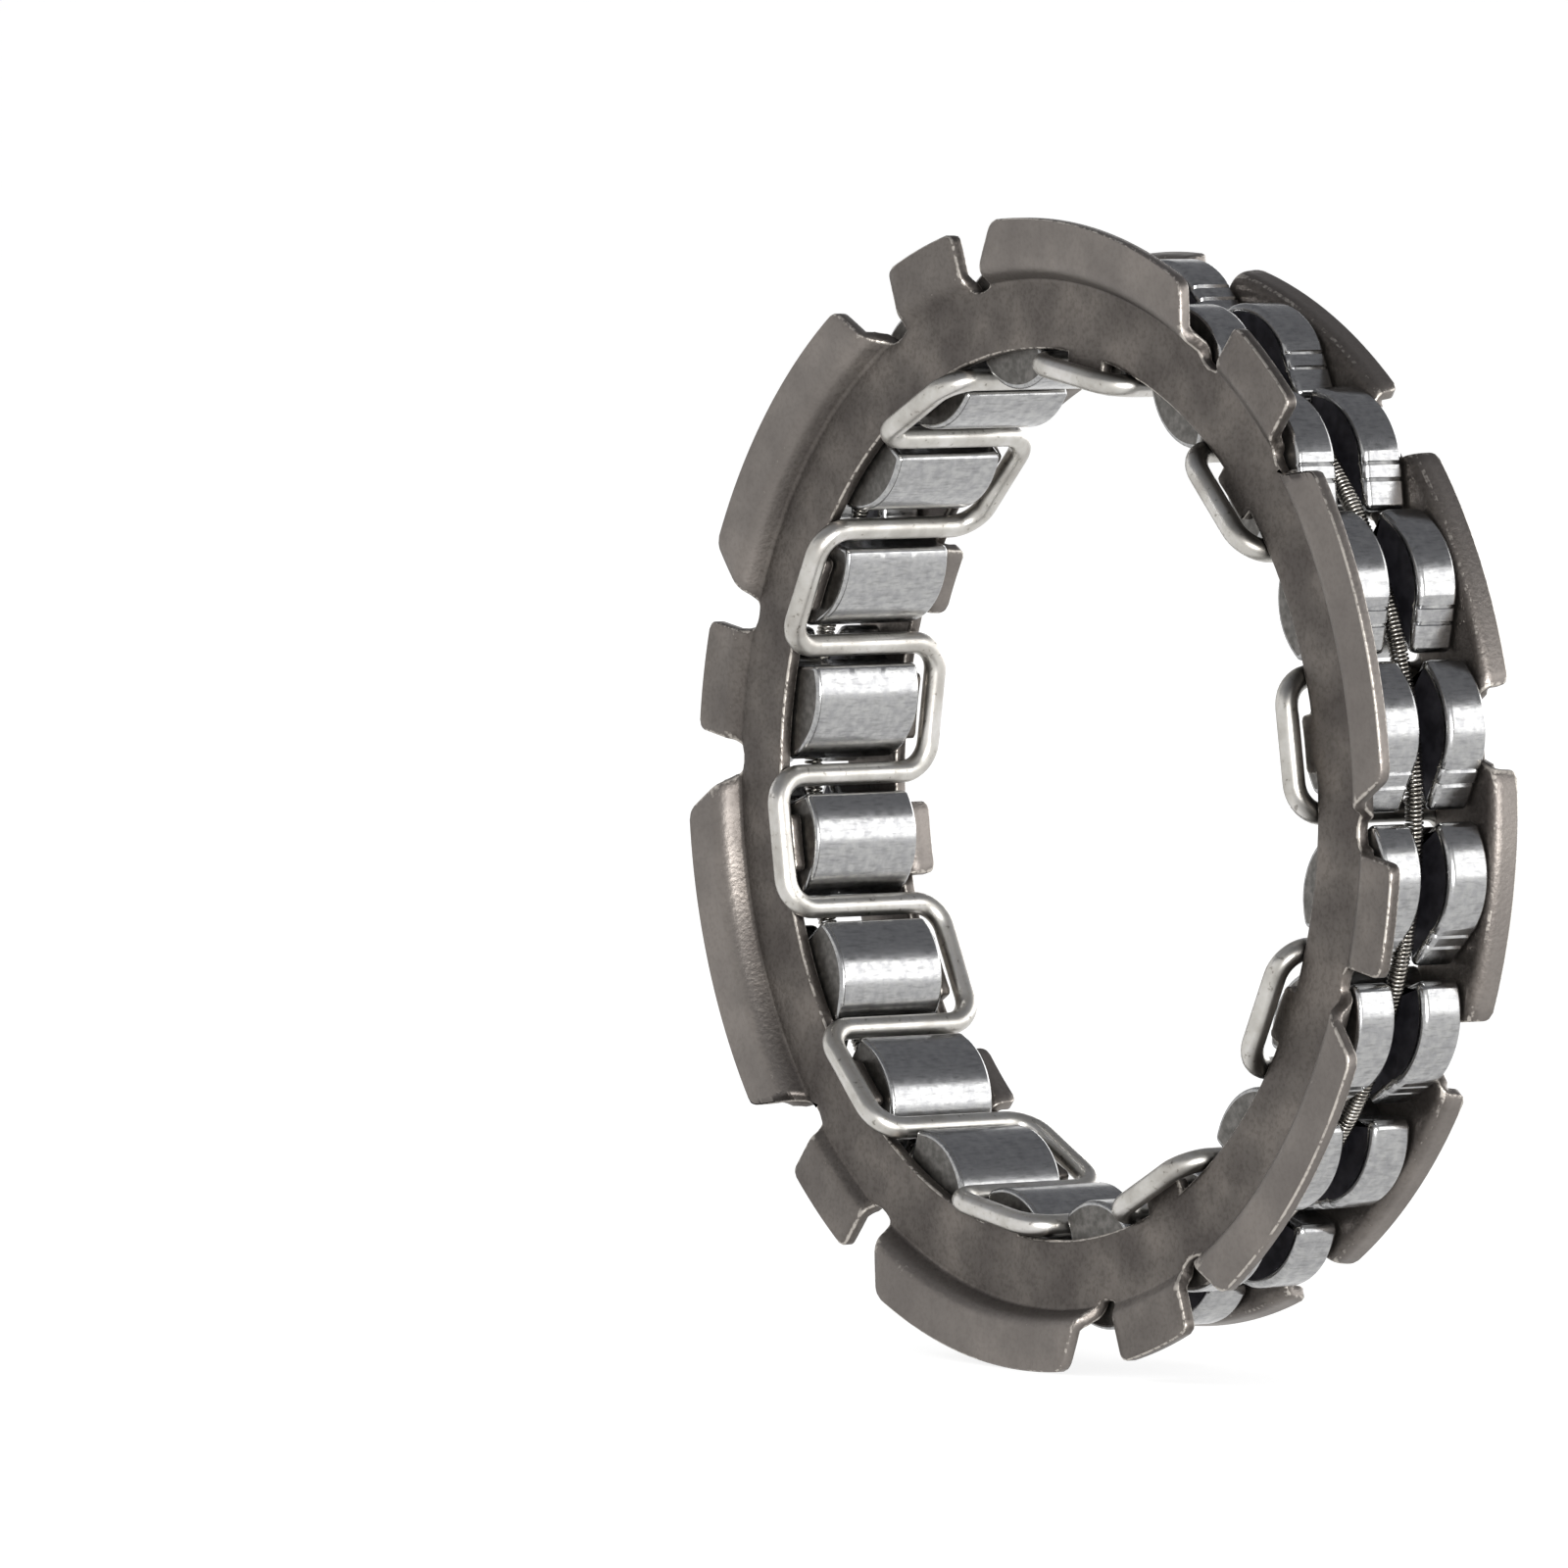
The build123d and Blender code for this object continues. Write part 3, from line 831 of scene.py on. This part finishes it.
def sprag_mesh():
    """One sprag on the +X axis, with the outward way along X. It has attributes for
    its sawn ends and for the groove."""
    points, marks = outline()
    centre, radius = Vector(GROOVE_FLOOR[0]), GROOVE_FLOOR[1]
    i = 0
    crossings = []
    while i < len(points):
        a, b = points[i], points[(i + 1) % len(points)]
        near, far = (a - centre).length - radius, (b - centre).length - radius
        if near * far < 0:
            points.insert(i + 1, a.lerp(b, near / (near - far)))
            marks = [m + 1 if m > i else m for m in marks]
            crossings.append(i + 1)
            i += 1
        i += 1
    right, left = crossings
    count = len(points)
    verts, faces, kinds = [], [], []

    def loop(section, y):
        first = len(verts)
        verts.extend(Vector((p.y, y, -p.x)) * MM for p in section)
        return [first + k for k in range(len(section))]

    head = list(range(right, left + 1))
    foot = list(range(left, count)) + list(range(right + 1))
    rounding = [(1.0, 0.0)]
    for step in ROUND_STEPS:
        step = math.radians(step)
        rounding.append((1 - math.sin(step), 1 - math.cos(step)))
    floor_angles = [(points[k] - centre) for k in (right, left)]
    swing = -floor_angles[0].angle_signed(floor_angles[1])
    start = math.atan2(floor_angles[0].y, floor_angles[0].x)
    floor_points = []
    for k in range(1, LONG_ARC_STEPS):
        angle = start + swing * k / LONG_ARC_STEPS
        floor_points.append(centre + radius * Vector((math.cos(angle), math.sin(angle))))
    inner = {}
    for side in (-1, 1):
        rings = []
        for inward, along in rounding:
            lip = set_in(points, marks, inward * GROOVE_ROUND)
            for k in foot:
                lip[k] = points[k]
            rings.append(loop(lip, side * (GROOVE_HALF + along * GROOVE_ROUND)))
        for inward, along in reversed(rounding):
            end = set_in(points, marks, inward * END_ROUND)
            rings.append(loop(end, side * (SPRAG_END - along * END_ROUND)))
        floor_ring = loop(floor_points, side * GROOVE_HALF)
        for low, high in zip(rings, rings[1:]):
            for k in range(count):
                m = (k + 1) % count
                faces.append([low[k], low[m], high[m], high[k]][::side])
                kinds.append(SKIN)
        faces.append([rings[-1][k] for k in range(count)][::side])
        kinds.append(SAWN)
        wall = [rings[0][k] for k in head] + list(reversed(floor_ring))
        faces.append(wall[::-side])
        kinds.append(GROOVE)
        inner[side] = (rings[0], floor_ring)
    (near_ring, near_floor), (far_ring, far_floor) = inner[-1], inner[1]
    for a, b in zip(foot, foot[1:]):
        faces.append([near_ring[a], near_ring[b], far_ring[b], far_ring[a]])
        kinds.append(SKIN)
    near_arc = [near_ring[right]] + near_floor + [near_ring[left]]
    far_arc = [far_ring[right]] + far_floor + [far_ring[left]]
    for a in range(len(near_arc) - 1):
        faces.append([near_arc[a], near_arc[a + 1], far_arc[a + 1], far_arc[a]])
        kinds.append(GROOVE)
    mesh = bpy.data.meshes.new("sprag_bar")
    mesh.from_pydata(verts, [], faces)
    for name, kind in (("sawn_end", SAWN), ("in_groove", GROOVE)):
        layer = mesh.attributes.new(name, "BOOLEAN", "FACE")
        for index, value in enumerate(kinds):
            layer.data[index].value = value == kind
    mesh.shade_smooth()
    mesh.set_sharp_from_angle(angle=math.radians(SHARP_EDGE))
    return mesh


def polished_bearing_steel():
    """Hardened bearing steel, drawn through a die and polished in a vibrating bowl:
    bright, with fine lines along the bar and a slightly uneven gloss. The lines are
    drawn coarser than they are, so that they show."""
    material = bpy.data.materials.new("polished_bearing_steel")
    material.use_nodes = True
    tree = material.node_tree
    shader = tree.nodes["Principled BSDF"]
    place = add_node(tree, "ShaderNodeTexCoord").outputs["Object"]
    across, along = noise_scale(LINE_WIDTH), noise_scale(LINE_LENGTH)
    drawn = add_node(
        tree, "ShaderNodeMapping", links={"Vector": place, "Scale": (across, along, across)}
    ).outputs["Vector"]
    lines = add_node(
        tree, "ShaderNodeTexNoise", links={"Vector": drawn, "Scale": 1.0, "Detail": 3.0}
    ).outputs["Fac"]
    clouds = add_node(
        tree, "ShaderNodeTexNoise",
        links={"Vector": place, "Scale": noise_scale(GLOSS_CLOUD), "Detail": 4.0},
    ).outputs["Fac"]
    skin = add_node(tree, "ShaderNodeValToRGB", links={"Fac": clouds})
    fill_ramp(skin, (0.35, "#9c9c9d"), (0.65, "#b0b0af"))
    hair = add_node(tree, "ShaderNodeValToRGB", links={"Fac": lines})
    fill_ramp(hair, (0.30, "#c4c4c4"), (0.48, "#f6f6f6"), (0.7, "#ffffff"))
    tone = add_node(
        tree, "ShaderNodeMix", {"data_type": "RGBA", "blend_type": "MULTIPLY"}, {"Factor": 0.6}
    )
    tree.links.new(skin.outputs["Color"], tone.inputs["A"])
    tree.links.new(hair.outputs["Color"], tone.inputs["B"])
    tree.links.new(tone.outputs["Result"], shader.inputs["Base Color"])
    dull = add_node(
        tree, "ShaderNodeMapRange",
        links={"Value": clouds, "From Min": 0.35, "From Max": 0.65, "To Min": 0.27, "To Max": 0.17},
    ).outputs[0]
    tree.links.new(dull, shader.inputs["Roughness"])
    relief = add_node(
        tree, "ShaderNodeBump", links={"Height": lines, "Strength": 0.3, "Distance": LINE_DEPTH * MM}
    ).outputs["Normal"]
    tree.links.new(relief, shader.inputs["Normal"])
    shader.inputs["Metallic"].default_value = 1.0
    return material


def tumbled_sawn_steel():
    """The ends of the sprags, cut off with an abrasive wheel and tumbled: a dull warm
    grey, close to the sheet beside them. Its grain is drawn coarser than it is, so
    that it shows."""
    material = bpy.data.materials.new("tumbled_sawn_steel")
    material.use_nodes = True
    tree = material.node_tree
    shader = tree.nodes["Principled BSDF"]
    place = add_node(tree, "ShaderNodeTexCoord").outputs["Object"]
    grain = add_node(
        tree, "ShaderNodeTexNoise",
        links={"Vector": place, "Scale": noise_scale(SAWN_GRAIN), "Detail": 3.0},
    ).outputs["Fac"]
    skin = add_node(tree, "ShaderNodeValToRGB", links={"Fac": grain})
    fill_ramp(skin, (0.35, "#5a5855"), (0.52, "#676562"), (0.68, "#75726f"))
    tree.links.new(skin.outputs["Color"], shader.inputs["Base Color"])
    relief = add_node(
        tree, "ShaderNodeBump", links={"Height": grain, "Strength": 0.3, "Distance": SAWN_DEPTH * MM}
    ).outputs["Normal"]
    tree.links.new(relief, shader.inputs["Normal"])
    shader.inputs["Roughness"].default_value = 0.42
    shader.inputs["Metallic"].default_value = 1.0
    return material


def groove_painted_shade():
    """The garter groove, painted near black as painted shade in the deep, narrow slot."""
    material = bpy.data.materials.new("groove_painted_shade")
    material.use_nodes = True
    tree = material.node_tree
    shader = tree.nodes["Principled BSDF"]
    place = add_node(tree, "ShaderNodeTexCoord").outputs["Object"]
    shade_mottle = add_node(
        tree, "ShaderNodeTexNoise",
        links={"Vector": place, "Scale": noise_scale(SHADE_PATCH), "Detail": 3.0},
    ).outputs["Fac"]
    # Painted shade: near black, mottled.
    skin = add_node(tree, "ShaderNodeValToRGB", links={"Fac": shade_mottle})
    fill_ramp(skin, (0.35, "#232227"), (0.65, "#35343a"))
    tree.links.new(skin.outputs["Color"], shader.inputs["Base Color"])
    shader.inputs["Roughness"].default_value = 0.45
    shader.inputs["Metallic"].default_value = 0.6
    return material


def sprag_tree(steel, sawn, groove_shade):
    """Turns a sprag to its place on the ring, and gives each surface its finish."""
    tree, sizes = new_tree("sprag_in_place", {"Turn": 0.0})
    back = add_node(
        tree, "ShaderNodeMath", {"operation": "MULTIPLY"}, {0: sizes.outputs["Turn"], 1: -1.0}
    ).outputs[0]
    spin = add_node(tree, "ShaderNodeCombineXYZ", links={"Y": back}).outputs[0]
    turned = add_node(tree, "GeometryNodeTransform", links={
        "Geometry": sizes.outputs["Geometry"],
        "Rotation": add_node(tree, "FunctionNodeEulerToRotation", links={"Euler": spin}).outputs[0],
    })
    ends = add_node(
        tree, "GeometryNodeInputNamedAttribute", {"data_type": "BOOLEAN"}, {"Name": "sawn_end"}
    )
    groove = add_node(
        tree, "GeometryNodeInputNamedAttribute", {"data_type": "BOOLEAN"}, {"Name": "in_groove"}
    )
    close_tree(
        tree, turned.outputs["Geometry"], (steel, None),
        (sawn, ends.outputs["Attribute"]), (groove_shade, groove.outputs["Attribute"]),
    )
    return tree


bar = sprag_mesh()
turning = sprag_tree(polished_bearing_steel(), tumbled_sawn_steel(), groove_painted_shade())
for number in range(1, 2 * SPRAG_PAIRS + 1):
    node = f"sprag_{number:02d}"
    sprag = grown(f"{node}_bar", turning, bar, {"Turn": math.radians((number - 0.5) * SPRAG_PITCH)})
    smooth(sprag)
    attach(sprag, node)
    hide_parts(node)

# Studio: a white sweep on which the clutch stands on its lugs, a grey ceiling that only
# reflections show, two soft lamps behind at the right, a wide one behind, a small one
# at the right of the camera and a large one in front at the left.
SWEEP = 30.0
SWEEP_GLOW = 0.805
CEILING = (0.45, 0.8)
SKY_LIGHT = 0.6
SKY_SEEN = 1.0


def sheet_of_card(name, half, height, facing):
    """A square card at a height, for the studio."""
    corners = [(-half, -half, height), (half, -half, height), (half, half, height), (-half, half, height)]
    mesh = bpy.data.meshes.new(name)
    mesh.from_pydata(corners, [], [(0, 1, 2, 3)[::facing]])
    card = bpy.data.objects.new(name, mesh)
    bpy.context.scene.collection.objects.link(card)
    return card


sweep = sheet_of_card("sweep", SWEEP, -LUG_TIP * MM, 1)
sweep_paint = bpy.data.materials.new("matt_white_paint")
sweep_paint.use_nodes = True
paint = sweep_paint.node_tree
paint.nodes.remove(paint.nodes["Principled BSDF"])


def seen_ray(tree):
    """1 for a ray that the camera, a gloss or a glass sends, and 0 for any other."""
    path = add_node(tree, "ShaderNodeLightPath")
    first = add_node(tree, "ShaderNodeMath", {"operation": "ADD"}, {
        0: path.outputs["Is Camera Ray"], 1: path.outputs["Is Glossy Ray"],
    }).outputs[0]
    return add_node(tree, "ShaderNodeMath", {"operation": "ADD", "use_clamp": True}, {
        0: first, 1: path.outputs["Is Transmission Ray"],
    }).outputs[0]


matt = add_node(paint, "ShaderNodeBsdfDiffuse", links={"Color": linear("#f2f2f2")}).outputs[0]
shade = add_node(paint, "ShaderNodeBsdfDiffuse", links={"Color": linear("#9c9c9c")}).outputs[0]
lit = add_node(
    paint, "ShaderNodeEmission", links={"Color": (1, 1, 1, 1), "Strength": SWEEP_GLOW}
).outputs[0]
both = add_node(paint, "ShaderNodeAddShader", links={0: shade, 1: lit}).outputs[0]
mixed = add_node(paint, "ShaderNodeMixShader", links={0: seen_ray(paint), 1: matt, 2: both}).outputs[0]
paint.links.new(mixed, paint.nodes["Material Output"].inputs["Surface"])
sweep.data.materials.append(sweep_paint)

ceiling = sheet_of_card("ceiling", CEILING[1], CEILING[0], -1)
ceiling.visible_camera = False
ceiling.visible_diffuse = False
ceiling.visible_shadow = False
ceiling.visible_transmission = False
grey_card = bpy.data.materials.new("lit_grey_card")
grey_card.use_nodes = True
card_tree = grey_card.node_tree
glow = add_node(card_tree, "ShaderNodeEmission", links={"Color": linear("#88898d"), "Strength": 1.0})
card_tree.links.new(glow.outputs[0], card_tree.nodes["Material Output"].inputs["Surface"])
ceiling.data.materials.append(grey_card)

world = bpy.data.worlds.new("studio")
bpy.context.scene.world = world
world.use_nodes = True
sky = world.node_tree
level = add_node(
    sky, "ShaderNodeMapRange",
    links={"Value": seen_ray(sky), "To Min": SKY_LIGHT, "To Max": SKY_SEEN},
).outputs[0]
sky.nodes["Background"].inputs["Color"].default_value = (1, 1, 1, 1)
sky.links.new(level, sky.nodes["Background"].inputs["Strength"])


def soft_lamp(name, place, size, watts):
    """A rectangular soft lamp that looks at the clutch."""
    data = bpy.data.lights.new(name, "AREA")
    data.shape = "RECTANGLE"
    data.size, data.size_y = size
    data.energy = watts
    lamp = bpy.data.objects.new(name, data)
    bpy.context.scene.collection.objects.link(lamp)
    lamp.location = place
    lamp.rotation_mode = "QUATERNION"
    lamp.rotation_quaternion = (-Vector(place)).to_track_quat("-Z", "Y")
    lamp.visible_camera = False
    return lamp


soft_lamp("rear_right_box_upper", (0.73, 0.60, 0.30), (0.7, 0.19), 1.05)
soft_lamp("rear_right_box_lower", (0.76, 0.62, 0.055), (0.7, 0.24), 1.3)
soft_lamp("rear_box", (-0.18, 1.03, 0.20), (1.5, 0.45), 6.0)
soft_lamp("near_right_box", (0.94, -0.32, 0.04), (0.32, 0.15), 11.0)
soft_lamp("front_left_box", (-0.55, -0.8, 0.75), (0.6, 0.6), 3.0)

AZIMUTH = 52.8
ELEVATION = 3.1
DISTANCE = 1.0
PIXELS = 1600
FOCAL_PIXELS = 16556
ORIGIN_PIXEL = (1129, 808)
azimuth, elevation = math.radians(AZIMUTH), math.radians(ELEVATION)
back = Vector((
    math.sin(azimuth) * math.cos(elevation),
    -math.cos(azimuth) * math.cos(elevation),
    math.sin(elevation),
))
right = Vector((math.cos(azimuth), math.sin(azimuth), 0))
up = back.cross(right)
lens = bpy.data.cameras.new("camera")
lens.sensor_width = 36.0
lens.lens = FOCAL_PIXELS * lens.sensor_width / PIXELS
lens.clip_start = 0.05
lens.clip_end = 200.0
camera = bpy.data.objects.new("camera", lens)
bpy.context.scene.collection.objects.link(camera)
camera.location = back * DISTANCE
aim = (
    right * (PIXELS / 2 - ORIGIN_PIXEL[0]) / FOCAL_PIXELS * DISTANCE
    + up * (ORIGIN_PIXEL[1] - PIXELS / 2) / FOCAL_PIXELS * DISTANCE
)
camera.rotation_mode = "QUATERNION"
camera.rotation_quaternion = (aim - camera.location).to_track_quat("-Z", "Y")
bpy.context.scene.camera = camera
bpy.context.scene.view_settings.view_transform = "Standard"
